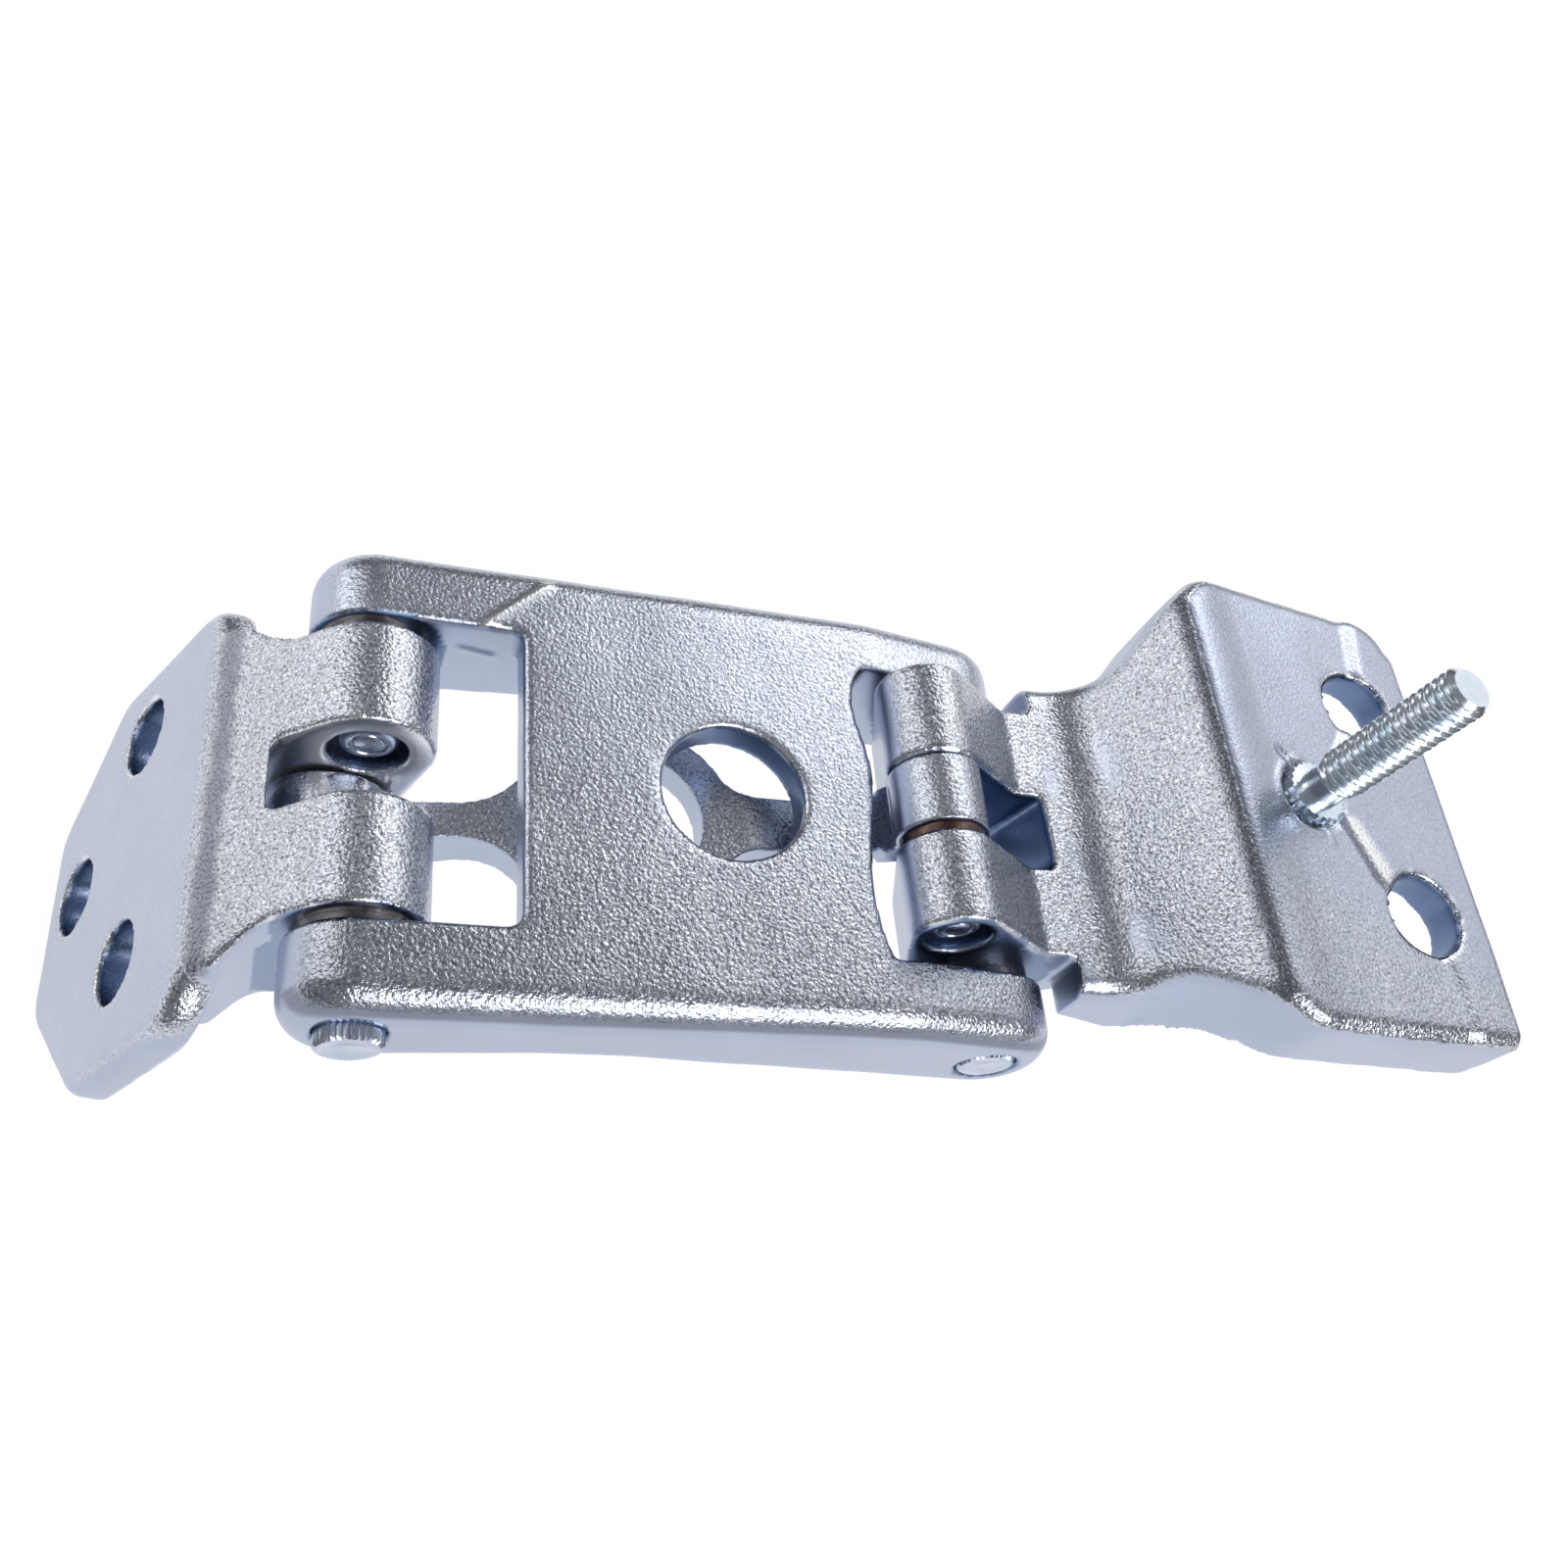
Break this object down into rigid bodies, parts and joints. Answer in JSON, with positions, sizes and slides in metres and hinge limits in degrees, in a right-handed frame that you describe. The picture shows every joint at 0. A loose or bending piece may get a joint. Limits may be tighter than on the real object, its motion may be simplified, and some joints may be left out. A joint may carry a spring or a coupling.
{
  "type": "tailgate hinge",
  "caption": "Cast four-bar tailgate hinge: a plate link with a round hole and a hidden inner link join a bent bolt plate to a stepped plate with a threaded stud.",
  "frame": {"origin": "on the right bracket's fixing face, midway between its two bolt holes", "axes": "+X along the hinge from the left bracket to the fixing face, +Y along the pivots, +Z out of the main link's top plate"},
  "size_m": [0.1579, 0.0602, 0.0863],
  "materials": {
    "zinc_casting": "bright zinc plate over a rough casting",
    "zinc_fastener": "bright zinc plate over turned steel",
    "dark_steel": "dark oiled steel",
    "bronze": "dull bronze"
  },
  "bodies": {
    "right_bracket": {"right_bracket": "zinc_casting", "fixing_stud": "zinc_fastener", "bush_a_near": "bronze", "bush_a_far": "bronze", "bush_b_near": "dark_steel", "bush_b_far": "dark_steel"},
    "main_link": {"main_link": "zinc_casting", "stub_pin_c_near": "zinc_fastener", "stub_pin_c_far": "zinc_fastener", "stub_pin_b_near": "zinc_fastener", "stub_pin_b_far": "zinc_fastener", "thrust_washer_c_near": "dark_steel", "thrust_washer_c_far": "dark_steel", "thrust_washer_b_near": "dark_steel", "thrust_washer_b_far": "dark_steel"},
    "left_bracket": {"left_bracket": "zinc_casting", "pin_d": "zinc_fastener", "bush_c_near": "dark_steel", "bush_c_far": "dark_steel"},
    "inner_link": {"inner_link": "zinc_casting", "pin_a": "zinc_fastener"}
  },
  "joints": [
    {"name": "link_swing", "type": "hinge", "parent": "right_bracket", "child": "main_link", "pos_m": [-0.0487, 0, -0.0209], "axis": [0, -1, 0], "range_deg": [-7.8, 46.9]},
    {"name": "left_swing", "type": "hinge", "parent": "main_link", "child": "left_bracket", "pos_m": [-0.117, 0, -0.0182], "axis": [0, -1, 0], "range_deg": [-10, 60]},
    {"name": "inner_swing", "type": "hinge", "parent": "right_bracket", "child": "inner_link", "pos_m": [-0.0554, 0, -0.0106], "axis": [0, -1, 0], "range_deg": [-8, 48]}
  ],
  "couplings": [
    {"joint": "left_swing", "follows": "link_swing", "ratio": 1.2788},
    {"joint": "inner_swing", "follows": "link_swing", "ratio": 1.0217}
  ]
}
